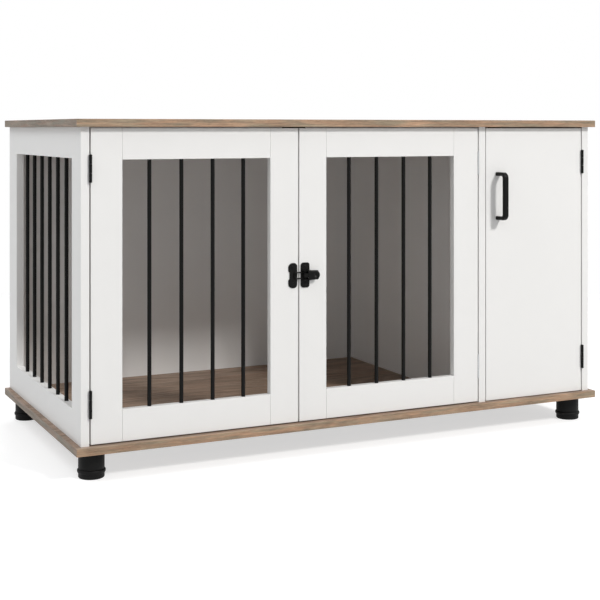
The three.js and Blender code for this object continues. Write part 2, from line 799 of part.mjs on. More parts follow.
const storageDoor = hangDoor('storage_door', proudHinge, storageRightX - hingeGap / 2, 1);
makeStorageDoor(storageDoor);

makeLatchKeeper(leftDoor);
makeLatchBase(middleDoor);
const lever = movingGroup(middleDoor, ...latchPoint(fulcrumReach, fulcrumRise, 0));
makeLatchLever(lever);
const bail = movingGroup(lever, ...latchPoint(bailPivotU, bailPivotV, 0));
makeLatchBail(bail);

const strikeShift = seamGap / 2 + strikeSideGap + strikeWidth / 2;
makeCatch('crate_door_catch', seamX, doubleCatchWidth);
makeCatch('storage_door_catch', dividerRightX + storageCatchDistance, singleCatchWidth);
makeStrike(leftDoor, 'left_door_strike', seamX - strikeShift);
makeStrike(middleDoor, 'middle_door_strike', seamX + strikeShift);
makeStrike(storageDoor, 'storage_door_strike', dividerRightX + storageCatchDistance);

const footX = bodyWidth / 2 - footSideInset;
const footFrontY = frontY + footFrontInset;
const footRearY = rearY - footRearInset;
makeFoot('front_left', -footX, footFrontY);
makeFoot('front_right', footX, footFrontY);
makeFoot('back_left', -footX, footRearY);
makeFoot('back_right', footX, footRearY);

export default crate;
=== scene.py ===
"""Studio view of a dog crate that doubles as an end table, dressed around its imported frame.

+Z is up, X runs to the right along the front and Y towards the back. The boards have eased edges
and, apart from those of the doors, meet without the frame's small clearances. The bars, hinges,
latch, pull, catches and feet are smooth. Each piece stands in the place of the frame's plainer
one, apart from some screws and strips that the frame leaves out. Lengths are in millimetres until
add_piece makes the mesh, which is in metres.
"""

import json
import math
from collections import namedtuple

import bmesh
import bpy
import numpy as np
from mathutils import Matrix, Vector


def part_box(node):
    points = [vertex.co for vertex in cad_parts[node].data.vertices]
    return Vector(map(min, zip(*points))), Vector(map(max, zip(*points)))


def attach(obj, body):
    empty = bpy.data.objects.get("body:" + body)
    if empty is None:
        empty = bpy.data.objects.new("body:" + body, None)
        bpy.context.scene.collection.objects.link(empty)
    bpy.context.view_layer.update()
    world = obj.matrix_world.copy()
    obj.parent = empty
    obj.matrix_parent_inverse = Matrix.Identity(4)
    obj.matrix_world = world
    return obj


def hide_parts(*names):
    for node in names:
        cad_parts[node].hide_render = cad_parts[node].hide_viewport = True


MM = 0.001
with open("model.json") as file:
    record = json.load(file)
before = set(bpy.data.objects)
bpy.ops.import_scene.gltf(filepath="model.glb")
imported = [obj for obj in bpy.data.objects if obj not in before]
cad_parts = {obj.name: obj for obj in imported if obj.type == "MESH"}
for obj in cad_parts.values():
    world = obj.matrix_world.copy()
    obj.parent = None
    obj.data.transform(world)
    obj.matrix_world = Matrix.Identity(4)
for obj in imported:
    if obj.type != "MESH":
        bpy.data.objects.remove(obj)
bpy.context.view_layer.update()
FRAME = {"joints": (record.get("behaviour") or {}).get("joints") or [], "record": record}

Shape = namedtuple("Shape", "points quads caps")
Screw = namedtuple("Screw", "radius height sides")

# ---- Sizes ----

CLEARANCE = 0.3  # between pieces that turn on or rest on each other
FLAT_BORDER = 0.35  # inside each eased edge, which keeps the shading of the faces flat
EASE_STEPS = 5  # of the quarter circle over an eased edge
SHARP_ANGLE = 38.0  # degrees between two faces, past which the edge between them stays sharp
MERGE_DISTANCE = 1e-7  # metres

# Shares of a screw head's radius or height
RECESS_HALF_WIDTH = 0.16
RECESS_REACH = 0.58
RECESS_RIM = 1.6  # half widths from the middle of an arm to where its wall ends
RECESS_DEPTH = 0.55
DOME_FALL = 0.8  # of the square of the height, between the middle and the rim

SCREW_SINK = 0.05  # of some heads, below the face that they sit on
BOARD_EASE = {"white_board": 0.5, "wood_grain_board": 0.8}  # radius of the boards' edges
SIDE_STILE_FRONT = 62.5  # width of the side panel in front of its window
SIDE_STILE_REAR = 71.0
SIDE_BARS = 6
DOOR_BARS = 4
BAR_SOCKET = 10.0  # depth of the holes that the bars go into
BAR_EASE = 0.6
BACK_SCREW = Screw(3.2, 0.8, 28)
BACK_SCREWS = 5
BACK_SCREW_INSET = 40.0  # end of the back panel to its outer screws
DOORS = ("left_door", "middle_door", "storage_door")

LEAF_THICKNESS = 0.9
LEAF_CORNER = 1.5
LEAF_EASE = 0.2
LEAF_SCREW = Screw(2.2, 0.22, 24)
LEAF_SCREW_PROUD = 0.02  # of the leaf's face
LEAF_SCREW_SETBACK = 3.5  # free edge of a leaf to its screws
LEAF_SCREW_INSET = 9.0  # end of a leaf to its outer screws
KNUCKLE_EASE = 0.35
PIN_HEAD_HEIGHT = 0.7
PIN_HEAD_SHARE = 0.62  # its radius over the knuckle's

PULL_THICKNESS = 8.0
PULL_BEND = 9.0  # radius of the strap's middle line at its bends
PULL_EASE = 2.0
PULL_SCREW = Screw(4.0, 2.0, 36)

LATCH_PLATE_THICKNESS = 1.5
LATCH_PLATE_WIDTH = 19.5
LATCH_KEEPER_RADII = (7.5, 9.0)  # of its corners by the seam and away from it
LATCH_BASE_RADII = (6.0, 5.0)
LATCH_EASE = 0.45
LATCH_WAIST_DEPTH = 2.7
LATCH_WAIST_HEIGHT = 13.0
LATCH_WAIST_CORNER = 1.2
LATCH_SCREW = Screw(3.1, 1.5, 36)
LATCH_SCREW_RISE = 17.0  # middle of the latch to its screws
EAR_THICKNESS = 0.6  # of the base plate's ears
STANDING_EASE = 0.2  # of the ears and of the lever's cheeks
FULCRUM_PIN_RADIUS = 1.0
FULCRUM_PIN_EASE = 0.3
FULCRUM_PIN_OVERLAP = 0.2  # inside the ear
SHEET_THICKNESS = 0.95  # of the lever
LEVER_BEND = 1.6  # outer radius where the lever's web turns down into its flanges
LEVER_WEB_START = 9.15  # the lever's pins to its web
LEVER_KNEE = 18.5  # and to where its lower edge begins to rise
LEVER_RISE = 5.0  # of its lower edge
LEVER_DISH_DEPTH = 1.8
LEVER_DISH_RADIUS = 6.0
LEVER_DISH_SETBACK = 9.5  # the lever's rounded end to the middle of its dish
LEVER_BULGE = 4.2  # of its rounded end
LEVER_TAPER = 0.12  # share of its width that is lost on the way to its rounded end
LEVER_POINTS = 48  # along its sheet
WEB_POINTS = 31  # across its web
BEND_POINTS = 7
FLANGE_POINTS = 6
CHEEK_FOOT = 1.75  # the lever's pins to where its cheeks' lower edge begins
CHEEK_LAP = 1.0  # of its cheeks inside its flanges
CHEEK_CORNER = (1.4, 0.6)  # length and depth of the slope at their upper corner
CHEEK_MARGIN = 0.03  # inside the flanges' faces
CHEEK_LIFT = 0.05  # of the far end of their lower edge
TONGUE_HALF_WIDTH = 4.1
TONGUE_TAIL = 1.0  # past the pins
TONGUE_LAP = 1.5  # under the web
TONGUE_CORNER = 1.2
TONGUE_EASE = 0.3
TONGUE_MARGIN = 0.02
WIRE_RADIUS = 1.5  # of the bail
WIRE_BEND = 2.6  # behind the hook
PIVOT_BEND = 1.2  # at the lever
LEG_HALF_SPACING = 6.0  # of the bail's legs
HOOK_HALF_WIDTH = 3.9
HOOK_THICKNESS = 1.4
HOOK_EASE = 0.4
HOOK_LEAN = 12.0  # degrees
HOOK_ROOT = 8.0  # middle of the seam to the hook's root
HOOK_SINK = 0.3  # into its plate

CASE_EASE = 1.0  # of a catch
STRIP_HALF_LENGTH = 6.5
STRIP_HEIGHT = 1.6
STRIP_INSET = 2.6  # top or bottom of the catch to its strips
STRIP_PROUD = 0.3
STRIP_DEPTH = 2.0  # inside the case
STRIP_EASE = 0.2
STRIKE_CORNER = 2.5
STRIKE_EASE = 0.25
STRIKE_SCREW = Screw(2.4, 0.3, 24)

FOOT_SIDES = 72
SOCKET_RIM_EASE = 0.8
SOCKET_TOP_EASE = 0.4
BORE_CHAMFER = 0.4
BORE_SPARE = 1.5  # of the socket's bore above the stud
GLIDE_EASE = 2.5
COLLAR_HALF_HEIGHT = 3.6
STUD_RADIUS = 5.0
STUD_CORE = 4.6
THREAD_DEPTH = 0.6
THREAD_PITCH = 2.5
THREAD_ROWS = 8  # of points in each turn
THREAD_INSETS = (0.4, 0.8)  # from the shoulder and from the top of the stud

CAMERA_FRAME_PX = 600.0
CAMERA_FOCAL_PX = 1240.65
CAMERA_HORIZON_PX = 128.71
CAMERA_HEADING = 25.63  # degrees, to the right of square on to the front
CAMERA_PLACE = (-1.2199, -2.5408, 0.6604)


# ---- Shapes ----
# Each is an array of points, an array of quads and a list of flat end faces.


def unit(vector):
    return np.asarray(vector, float) / np.linalg.norm(vector)


def grid_quads(rows, columns, round_rows=False, round_columns=False):
    """The quads between neighbouring points of a grid, joined up where it closes on itself."""
    i = np.arange(rows if round_rows else rows - 1)
    j = np.arange(columns if round_columns else columns - 1)
    i, j = np.meshgrid(i, j, indexing="ij")
    after_i, after_j = (i + 1) % rows, (j + 1) % columns
    corners = [(i, j), (i, after_j), (after_i, after_j), (after_i, j)]
    return np.stack([a * columns + b for a, b in corners], -1).reshape(-1, 4)


def skin(rings, capped=True, round_rows=False):
    """The surface over a row of closed rings of points, with a flat face on each end ring."""
    rows, columns = rings.shape[:2]
    caps = [np.arange(columns), np.arange(columns) + (rows - 1) * columns] if capped else []
    return Shape(rings.reshape(-1, 3), grid_quads(rows, columns, round_rows, True), caps)


def arc(centre, radius, start, end, steps=8):
    """Points at an even turn round a centre, from one angle to another in degrees."""
    angle = np.radians(np.linspace(start, end, steps + 1))
    return np.asarray(centre) + radius * np.stack([np.cos(angle), np.sin(angle)], -1)


def fillet(corners, radii, closed, steps=8):
    """A line through corners with an arc at each: the arc's ends lie radius / tan(half the
    corner's angle) from the corner, and its middle lies on the line that halves that angle."""
    corners = [np.asarray(corner, float) for corner in corners]
    radii = np.broadcast_to(radii, len(corners))
    share = np.linspace(0, 1, steps + 1)[:, None]
    line = []
    for i, (corner, radius) in enumerate(zip(corners, radii)):
        if radius == 0 or (not closed and i in (0, len(corners) - 1)):
            line.append(corner[None])
            continue
        back = unit(corners[i - 1] - corner)
        on = unit(corners[(i + 1) % len(corners)] - corner)
        half = math.acos(float(np.clip(back @ on, -1, 1))) / 2
        middle = corner + unit(back + on) * radius / math.sin(half)
        turn = math.pi - 2 * half
        first = corner + back * radius / math.tan(half) - middle
        last = corner + on * radius / math.tan(half) - middle
        swing = np.sin((1 - share) * turn) * first + np.sin(share * turn) * last
        line.append(middle + swing / math.sin(turn))
    return np.concatenate(line)


def rounded_box(half_width, half_height, radius, steps):
    """The outline of a rectangle about its middle, with round corners."""
    signs = ((-1, -1), (1, -1), (1, 1), (-1, 1))
    return fillet([(a * half_width, b * half_height) for a, b in signs], radius, True, steps)


def turned(profile, start, end, sides=40):
    """A profile of radius and distance from start, turned a full circle about start to end."""
    axis = unit(np.subtract(end, start))
    side = unit(np.cross(axis, (0, 1, 0) if abs(axis[1]) < 0.9 else (1, 0, 0)))
    angle = np.linspace(0, 2 * np.pi, sides, endpoint=False)[:, None]
    ring = np.cos(angle) * side + np.sin(angle) * np.cross(axis, side)
    radius, along = np.asarray(profile, float).T[:, :, None, None]
    return skin(np.asarray(start) + along * axis + radius * ring, capped=False)


def rod(start, end, radius, ease, sides=32):
    """A round bar whose ends are eased by a quarter circle."""
    length = np.linalg.norm(np.subtract(end, start))
    low = arc((radius - ease, ease), ease, -90, 0, EASE_STEPS)
    high = arc((radius - ease, length - ease), ease, 0, 90, EASE_STEPS)
    return turned([(0, 0), *low, *high, (0, length)], start, end, sides)


def swept(section, path, across):
    """A closed section carried along a path that lies in a plane square to across. Its first
    number goes along across, and its second along the path's own normal."""
    path = np.asarray(path, float)
    along = np.gradient(path, axis=0)
    normal = np.cross(along / np.linalg.norm(along, axis=1)[:, None], across)
    a, b = np.asarray(section, float).T
    return skin(path[:, None] + a[:, None] * np.asarray(across) + b[:, None] * normal[:, None])


def eased_edge(ease):
    """How far an outline has drawn in at each depth below a face: by ease * (1 - cos t) at
    ease * (1 - sin t), with a flat border at both ends that keeps the faces' shading flat."""
    turn = np.radians(np.linspace(0, 90, EASE_STEPS + 1))
    inset = [0, *ease * (1 - np.cos(turn)), ease + FLAT_BORDER]
    depth = [ease + FLAT_BORDER, *ease * (1 - np.sin(turn)), 0]
    return np.array(inset), np.array(depth)


def plate(outline, thickness, ease, origin, right, up):
    """A flat plate: its outline runs round its side, and over each eased edge it moves in along
    its own normals. Right and up are the ways of the outline's two numbers."""
    outline = np.asarray(outline, float)
    before, after = np.roll(outline, 1, 0), np.roll(outline, -1, 0)
    along = (outline - before) / np.linalg.norm(outline - before, axis=1)[:, None]
    along += (after - outline) / np.linalg.norm(after - outline, axis=1)[:, None]
    length = np.linalg.norm(along, axis=1)[:, None]
    area = np.sum(before[:, 0] * outline[:, 1] - before[:, 1] * outline[:, 0])
    inward = np.stack([-along[:, 1], along[:, 0]], -1) * np.sign(area) * 2 / length**2
    inset, depth = (values[1:] for values in eased_edge(ease))
    height = np.concatenate([depth[::-1], thickness - depth])[:, None, None]
    drawn = outline + np.concatenate([inset[::-1], inset])[:, None, None] * inward
    points = drawn[..., :1] * np.asarray(right) + drawn[..., 1:] * np.asarray(up)
    return skin(np.asarray(origin) + points + height * np.cross(right, up))


def rectangles(low, high, inset, level, axis):
    """Rectangles square to an axis, each at its own level on it and drawn in by its inset."""
    a, b = (i for i in range(3) if i != axis)
    corners = np.empty((len(inset), 4, 3))
    corners[:, :, axis] = level[:, None]
    for corner, (far_a, far_b) in enumerate(((0, 0), (1, 0), (1, 1), (0, 1))):
        corners[:, corner, a] = high[a] - inset if far_a else low[a] + inset
        corners[:, corner, b] = high[b] - inset if far_b else low[b] + inset
    return corners


def board(low, high, ease):
    """A box with eased edges round its two largest faces."""
    axis = int(np.argmin(np.subtract(high, low)))
    inset, depth = eased_edge(ease)
    level = np.concatenate([low[axis] + depth[::-1], high[axis] - depth])
    return skin(rectangles(low, high, np.concatenate([inset[::-1], inset]), level, axis))


def window_board(low, high, window_low, window_high, ease):
    """A board square to X with a window: rectangles round its border run over one face to those
    round the window, through it, and back over the other face."""
    inset, depth = eased_edge(ease)
    near, far = low[0] + depth, high[0] - depth
    rings = [
        rectangles(low, high, inset, near, 0),
        rectangles(window_low, window_high, -inset[::-1], near[::-1], 0),
        rectangles(window_low, window_high, -inset, far, 0),
        rectangles(low, high, inset[::-1], far[::-1], 0),
    ]
    return skin(np.concatenate(rings), capped=False, round_rows=True)


def sheet(surface, thickness):
    """A grid of points given a thickness along its own normals, and closed round its border."""
    down, over = np.gradient(surface, axis=0), np.gradient(surface, axis=1)
    normal = np.cross(down, over)
    normal /= np.linalg.norm(normal, axis=2)[:, :, None]
    rows, columns = surface.shape[:2]
    both = np.concatenate([surface.reshape(-1, 3), (surface - thickness * normal).reshape(-1, 3)])
    face = grid_quads(rows, columns)
    index = np.arange(rows * columns).reshape(rows, columns)
    border = [index[0, :-1], index[:-1, -1], index[-1, :0:-1], index[:0:-1, 0]]
    border = np.concatenate(border)
    after = np.roll(border, -1)
    under = rows * columns
    wall = np.stack([border, after, after + under, border + under], -1)
    return Shape(both, np.concatenate([face, face[:, ::-1] + under, wall]), [])


def screw_head(centre, out, screw, rows=12):
    """A low dome with a cross-shaped recess: over a disc of radii r and angles, its height is
    sqrt(1 - DOME_FALL * r^2) times the screw's, less a smooth trough within the cross's arms."""
    share = np.sqrt(np.linspace(0, 1, rows))[:, None]
    angle = np.linspace(0, 2 * np.pi, screw.sides, endpoint=False)
    x, y = share * np.cos(angle), share * np.sin(angle)
    arms = [
        np.maximum(np.abs(across) / RECESS_HALF_WIDTH, np.abs(along) / RECESS_REACH)
        for across, along in ((x, y), (y, x))
    ]
    trough = np.clip(RECESS_RIM - np.minimum(*arms), 0, 1)
    trough = RECESS_DEPTH * trough * trough * (3 - 2 * trough)
    rise = screw.height * (np.sqrt(1 - DOME_FALL * share**2) - trough)
    rise = np.vstack([rise, np.zeros((2, screw.sides))])
    rim = np.stack([np.cos(angle), np.sin(angle)])[:, None]
    x = np.vstack([x, rim[0], 0 * rim[0]])
    y = np.vstack([y, rim[1], 0 * rim[1]])
    out = unit(out)
    right = unit(np.cross(out, (0, 0, 1) if abs(out[2]) < 0.9 else (0, 1, 0)))
    up = np.cross(right, out)
    flat = screw.radius * (x[..., None] * right + y[..., None] * up)
    return skin(np.asarray(centre) + flat + rise[..., None] * out, capped=False)


# ---- Pieces ----


def box_of(name):
    """Lowest and highest corner of one of the frame's pieces."""
    low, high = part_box(name)
    return np.array(low) / MM, np.array(high) / MM


def joint_place(name):
    return next(np.array(joint["pos_m"]) / MM for joint in FRAME["joints"] if joint["name"] == name)


def add_object(name, data):
    made = bpy.data.objects.new(name, data)
    bpy.context.scene.collection.objects.link(made)
    return made


def add_piece(name, shapes, slot, body, replaces=()):
    """One mesh out of several closed shapes, in metres, smooth except where it turns sharply."""
    starts = np.cumsum([0] + [len(shape.points) for shape in shapes])
    points = np.concatenate([shape.points for shape in shapes]) * MM
    faces = []
    for start, shape in zip(starts, shapes):
        faces += (shape.quads + start).tolist()
        faces += [(cap + start).tolist() for cap in shape.caps]
    mesh = bpy.data.meshes.new(name)
    mesh.from_pydata(points.tolist(), [], faces)
    shell = bmesh.new()
    shell.from_mesh(mesh)
    bmesh.ops.remove_doubles(shell, verts=shell.verts, dist=MERGE_DISTANCE)
    bmesh.ops.recalc_face_normals(shell, faces=shell.faces)
    shell.to_mesh(mesh)
    shell.free()
    mesh.shade_smooth()
    mesh.set_sharp_from_angle(angle=math.radians(SHARP_ANGLE))
    mesh.materials.append(MATERIALS[slot])
    piece = add_object(name, mesh)
    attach(piece, body)
    if replaces:
        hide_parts(*replaces)


# ---- Node helpers ----


def node(tree, kind, inputs=(), **settings):
    """A node with its settings, and each named input either linked or given its value."""
    made = tree.nodes.new(kind)
    for key, value in settings.items():
        setattr(made, key, value)
    for key, value in dict(inputs).items():
        if isinstance(value, bpy.types.NodeSocket):
            tree.links.new(value, made.inputs[key])
        else:
            made.inputs[key].default_value = value
    return made


def maths(tree, operation, a, b=0.0, c=0.0):
    return node(tree, "ShaderNodeMath", {0: a, 1: b, 2: c}, operation=operation).outputs[0]


def weighted(tree, terms, base=0.0):
    """The base, plus each term's value times its weight."""
    for value, weight in terms:
        base = maths(tree, "MULTIPLY_ADD", value, weight, base)
    return base


def spread(tree, value, low, high, new_low=0.0, new_high=1.0):
    """Stretches low to high out to new_low to new_high, and holds what lies beyond."""
    ends = {"From Min": low, "From Max": high, "To Min": new_low, "To Max": new_high}
    return node(tree, "ShaderNodeMapRange", {"Value": value, **ends}).outputs[0]


def mixed(tree, share, a, b):
    """A colour between two, each of them a socket or three numbers."""
    a, b = (end if isinstance(end, bpy.types.NodeSocket) else (*end, 1) for end in (a, b))
    return node(tree, "ShaderNodeMix", {0: share, 6: a, 7: b}, data_type="RGBA").outputs[2]


def toned(tree, colour, value):
    """A colour made lighter or darker by a factor."""
    return node(tree, "ShaderNodeHueSaturation", {"Value": value, "Color": colour}).outputs[0]


def noise(tree, vector, scale, detail=2.0, roughness=0.5):
    inputs = {"Vector": vector, "Scale": scale, "Detail": detail, "Roughness": roughness}
    return node(tree, "ShaderNodeTexNoise", inputs).outputs["Fac"]


EFFECT_OUTPUTS = (("Color", "Color"), ("Roughness", "Float"), ("Height", "Float"))


def new_effect(name, inputs):
    """A shader node group with named inputs, and a colour, a roughness and a height as outputs.
    Returns it with its input and output nodes."""
    tree = bpy.data.node_groups.new(name, "ShaderNodeTree")
    for label, kind, value in inputs:
        made = tree.interface.new_socket(label, in_out="INPUT", socket_type="NodeSocket" + kind)
        if value is not None:
            made.default_value = value
    for label, kind in EFFECT_OUTPUTS:
        tree.interface.new_socket(label, in_out="OUTPUT", socket_type="NodeSocket" + kind)
    return tree, tree.nodes.new("NodeGroupInput"), tree.nodes.new("NodeGroupOutput")


def put_out(tree, result, *values):
    for (label, _), value in zip(EFFECT_OUTPUTS, values):
        tree.links.new(value, result.inputs[label])


# ---- Surface effects ----
# The scale of their noise is in features per metre, and noise averages a half.


def make_fine_surface():
    """Slow changes of tone, small grains and a soft unevenness, as on any sprayed finish."""
    inputs = [
        ("Vector", "Vector", None),
        ("Color", "Color", (0.8, 0.8, 0.8, 1)),
        ("Grain", "Float", 900.0),
        ("Tone", "Float", 0.02),
        ("Speckle", "Float", 0.02),
        ("Roughness", "Float", 0.5),
        ("Roughness Spread", "Float", 0.05),
    ]
    tree, given, result = new_effect("fine_surface", inputs)
    vector = given.outputs["Vector"]
    cloud = noise(tree, vector, scale=2.6, detail=3.0)
    patch = noise(tree, vector, scale=23.0, detail=4.0, roughness=0.6)
    peel = noise(tree, vector, scale=260.0, detail=1.0)
    grain = noise(tree, vector, given.outputs["Grain"], detail=2.0, roughness=0.6)
    slow = weighted(tree, [(cloud, 1.0), (patch, 0.5)], base=-0.75)
    fleck = maths(tree, "SUBTRACT", grain, 0.5)
    terms = [(slow, given.outputs["Tone"]), (fleck, given.outputs["Speckle"])]
    colour = toned(tree, given.outputs["Color"], weighted(tree, terms, base=1.0))
    terms = [(slow, given.outputs["Roughness Spread"])]
    roughness = weighted(tree, terms, base=given.outputs["Roughness"])
    put_out(tree, result, colour, roughness, weighted(tree, [(peel, 0.6), (grain, 0.4)]))
    return tree


# Each layer of the wood grain: its scale along X, Y and Z, its shift, its detail and its roughness
GRAIN_LAYERS = {
    "arches": ((1.3, 5.5, 5.5), (0, 0, 0), 2.0, 0.45),
    "wobble": ((5.0, 26.0, 26.0), (3, 1, 2), 3.0, 0.5),
    "patches": ((13.0, 130.0, 130.0), (4, 8, 1), 3.0, 0.6),
    "streaks": ((9.0, 190.0, 190.0), (5, 2, 7), 4.0, 0.7),
    "fibres": ((70.0, 620.0, 620.0), (0, 0, 0), 3.0, 0.65),
    "pores": ((60.0, 1300.0, 1300.0), (1, 4, 9), 2.0, 0.6),
}
RINGS_PER_METRE = 12.0
ARCH_RINGS = 17.0  # that the arches shift the pattern by
WOBBLE_RINGS = 1.6
RING_POWER = 2.2  # of the slow rise before each ring's quicker fall
RING_MEAN = 1 / (RING_POWER + 1) - 1 / (RING_POWER + 2)  # of x^power * (1 - x)
STREAK_STRENGTH = 1.5
FIBRE_STRENGTH = 0.95
GRAIN_VALUE = 0.953  # factor on the browns where the grain is neither light nor dark
PATCH_ENDS = (0.38, 0.62)  # noise at which the brown is all cool and all warm
PORE_ENDS = (0.6, 0.72)  # noise at which a pore begins and is full
PORE_COVER = 0.4
PORE_DEPTH = 0.8  # of a pore in the height, over the fibres'
SHADE_ENDS = (-0.4, 0.4)  # dark and light grain
SHADE_ROUGHNESS = (0.6, 0.48)  # and the film's roughness there


def make_wood_grain():
    """Grain along X: arched growth rings, patches of a cooler and a warmer brown, streaks, fine
    fibres and short dark pores. Each is noise that is stretched along the grain."""
    inputs = [
        ("Vector", "Vector", None),
        ("Cool", "Color", (0.3, 0.25, 0.15, 1)),
        ("Warm", "Color", (0.42, 0.26, 0.16, 1)),
        ("Pore", "Color", (0.1, 0.07, 0.05, 1)),
        ("Figure", "Float", 1.3),
        ("Shortness", "Float", 1.0),
    ]
    tree, given, result = new_effect("wood_grain", inputs)
    vector = given.outputs["Vector"]
    xyz = node(tree, "ShaderNodeSeparateXYZ", {0: vector})
    x, y, z = (xyz.outputs[i] for i in range(3))
    shortened = maths(tree, "MULTIPLY", x, given.outputs["Shortness"])
    drawn = node(tree, "ShaderNodeCombineXYZ", {0: shortened, 1: y, 2: z}).outputs[0]

    def layer(name, place):
        scale, shift, detail, roughness = GRAIN_LAYERS[name]
        inputs = {"Vector": place, "Scale": scale, "Location": shift}
        stretched = node(tree, "ShaderNodeMapping", inputs).outputs[0]
        return noise(tree, stretched, 1.0, detail, roughness)

    # Growth rings, bent into arches by a slow change that is stretched along the grain
    terms = [(y, RINGS_PER_METRE), (z, RINGS_PER_METRE)]
    terms += [(layer("arches", vector), ARCH_RINGS), (layer("wobble", vector), WOBBLE_RINGS)]
    phase = maths(tree, "FRACT", weighted(tree, terms))
    rise = maths(tree, "POWER", phase, RING_POWER)
    ring = maths(tree, "MULTIPLY", rise, maths(tree, "SUBTRACT", 1.0, phase))

    fibre = layer("fibres", vector)
    terms = [(layer("streaks", drawn), STREAK_STRENGTH), (fibre, FIBRE_STRENGTH)]
    terms.append((maths(tree, "SUBTRACT", RING_MEAN, ring), given.outputs["Figure"]))
    shade = weighted(tree, terms, base=-0.5 * (STREAK_STRENGTH + FIBRE_STRENGTH))

    warmth = spread(tree, layer("patches", drawn), *PATCH_ENDS)
    pores = spread(tree, layer("pores", vector), *PORE_ENDS)
    brown = mixed(tree, warmth, given.outputs["Cool"], given.outputs["Warm"])
    brown = mixed(tree, maths(tree, "MULTIPLY", pores, PORE_COVER), brown, given.outputs["Pore"])
    colour = toned(tree, brown, maths(tree, "ADD", shade, GRAIN_VALUE))
    roughness = spread(tree, shade, *SHADE_ENDS, *SHADE_ROUGHNESS)
    put_out(tree, result, colour, roughness, weighted(tree, [(fibre, 1.0), (pores, -PORE_DEPTH)]))
    return tree


FINE_SURFACE = make_fine_surface()
WOOD_GRAIN = make_wood_grain()


# ---- Materials ----

# Grain is in grains per metre, and the bump distance in metres
Finish = namedtuple(
    "Finish", "colour grain tone speckle roughness bump bump_distance specular metallic"
)
FINISHES = {
    "white_board": Finish((0.80, 0.795, 0.785), 1100.0, 0.03, 0.01, 0.42, 0.12, 0.0003, 0.35, 0.0),
    "black_metal": Finish((0.005, 0.005, 0.0048), 2600.0, 0.2, 0.5, 0.36, 0.25, 0.0002, 0.11, 0.0),
    "black_plastic": Finish((0.007, 0.007, 0.007), 1800.0, 0.2, 0.4, 0.5, 0.4, 0.0003, 0.12, 0.0),
    "zinc_metal": Finish((0.5, 0.51, 0.52), 1500.0, 0.2, 0.2, 0.36, 0.2, 0.0001, 0.5, 1.0),
    "steel_plate": Finish((0.56, 0.57, 0.58), 2200.0, 0.1, 0.1, 0.3, 0.15, 0.0001, 0.5, 1.0),
}
ROUGHNESS_SPREAD = 0.12

# Cool and warm brown of the wood-grain film. The short ends' browns are darker and greyer:
# partly the film's own tone and partly painted shade for the less lit ends.
EDGE_BROWNS = ((0.300, 0.233, 0.160), (0.402, 0.252, 0.162))
FACE_BROWNS = ((0.262, 0.194, 0.143), (0.316, 0.208, 0.148))
END_BROWNS_WITH_PAINTED_SHADE = ((0.205, 0.182, 0.142), (0.275, 0.190, 0.142))
PORE_BROWN = (0.12, 0.08, 0.055)
EDGE_FIGURE, FACE_FIGURE = 1.3, 2.2  # strength of the rings
EDGE_SHORTNESS, FACE_SHORTNESS = 1.0, 0.5  # of the patches and streaks
FACING = 0.75  # least part of a face's normal along an axis that it faces


def new_material(name, specular, metallic=0.0):
    """A material, its nodes and its shader, with what is the same all over the surface set."""
    material = bpy.data.materials.new(name)
    material.use_nodes = True
    shader = material.node_tree.nodes["Principled BSDF"]
    shader.inputs["Specular IOR Level"].default_value = specular
    shader.inputs["Metallic"].default_value = metallic
    return material, material.node_tree, shader


def dress(tree, shader, group, inputs, bump, bump_distance):
    """Leads the colour, roughness and height of a surface effect into the shader."""
    effect = node(tree, "ShaderNodeGroup", inputs, node_tree=group)
    tree.links.new(effect.outputs["Color"], shader.inputs["Base Color"])
    tree.links.new(effect.outputs["Roughness"], shader.inputs["Roughness"])
    inputs = {"Height": effect.outputs["Height"], "Strength": bump, "Distance": bump_distance}
    tree.links.new(node(tree, "ShaderNodeBump", inputs).outputs[0], shader.inputs["Normal"])


def make_plain(name, finish):
    """A sprayed, moulded or plated finish."""
    material, tree, shader = new_material(name, finish.specular, finish.metallic)
    inputs = {
        "Vector": node(tree, "ShaderNodeTexCoord").outputs["Object"],
        "Color": (*finish.colour, 1),
        "Grain": finish.grain,
        "Tone": finish.tone,
        "Speckle": finish.speckle,
        "Roughness": finish.roughness,
        "Roughness Spread": ROUGHNESS_SPREAD,
    }
    dress(tree, shader, FINE_SURFACE, inputs, finish.bump, finish.bump_distance)
    return material


def make_wood_board():
    """Brown wood-grain film: along X on the faces and long edges, along Y on the short ends."""
    material, tree, shader = new_material("wood_grain_board", specular=0.3)
    place = node(tree, "ShaderNodeTexCoord")
    facing = node(tree, "ShaderNodeSeparateXYZ", {0: place.outputs["Normal"]})
    at_end, broad = (
        maths(tree, "GREATER_THAN", maths(tree, "ABSOLUTE", facing.outputs[axis]), FACING)
        for axis in (0, 2)
    )
    # The short ends get darker, greyer browns, which are partly painted shade.
    cool, warm = (
        mixed(tree, at_end, mixed(tree, broad, edge, face), end)
        for edge, face, end in zip(EDGE_BROWNS, FACE_BROWNS, END_BROWNS_WITH_PAINTED_SHADE)
    )
    xyz = node(tree, "ShaderNodeSeparateXYZ", {0: place.outputs["Object"]})
    swapped = {0: xyz.outputs[1], 1: xyz.outputs[0], 2: xyz.outputs[2]}
    swapped = node(tree, "ShaderNodeCombineXYZ", swapped).outputs[0]
    ways = {0: at_end, 4: place.outputs["Object"], 5: swapped}
    inputs = {
        "Vector": node(tree, "ShaderNodeMix", ways, data_type="VECTOR").outputs[1],
        "Cool": cool,
        "Warm": warm,
        "Pore": (*PORE_BROWN, 1),
        "Figure": spread(tree, broad, 0, 1, EDGE_FIGURE, FACE_FIGURE),
        "Shortness": spread(tree, broad, 0, 1, EDGE_SHORTNESS, FACE_SHORTNESS),
    }
    dress(tree, shader, WOOD_GRAIN, inputs, bump=0.25, bump_distance=0.0004)
    return material


MATERIALS = {name: make_plain(name, finish) for name, finish in FINISHES.items()}
MATERIALS["wood_grain_board"] = make_wood_board()


# ---- Boards, panels and door frames ----

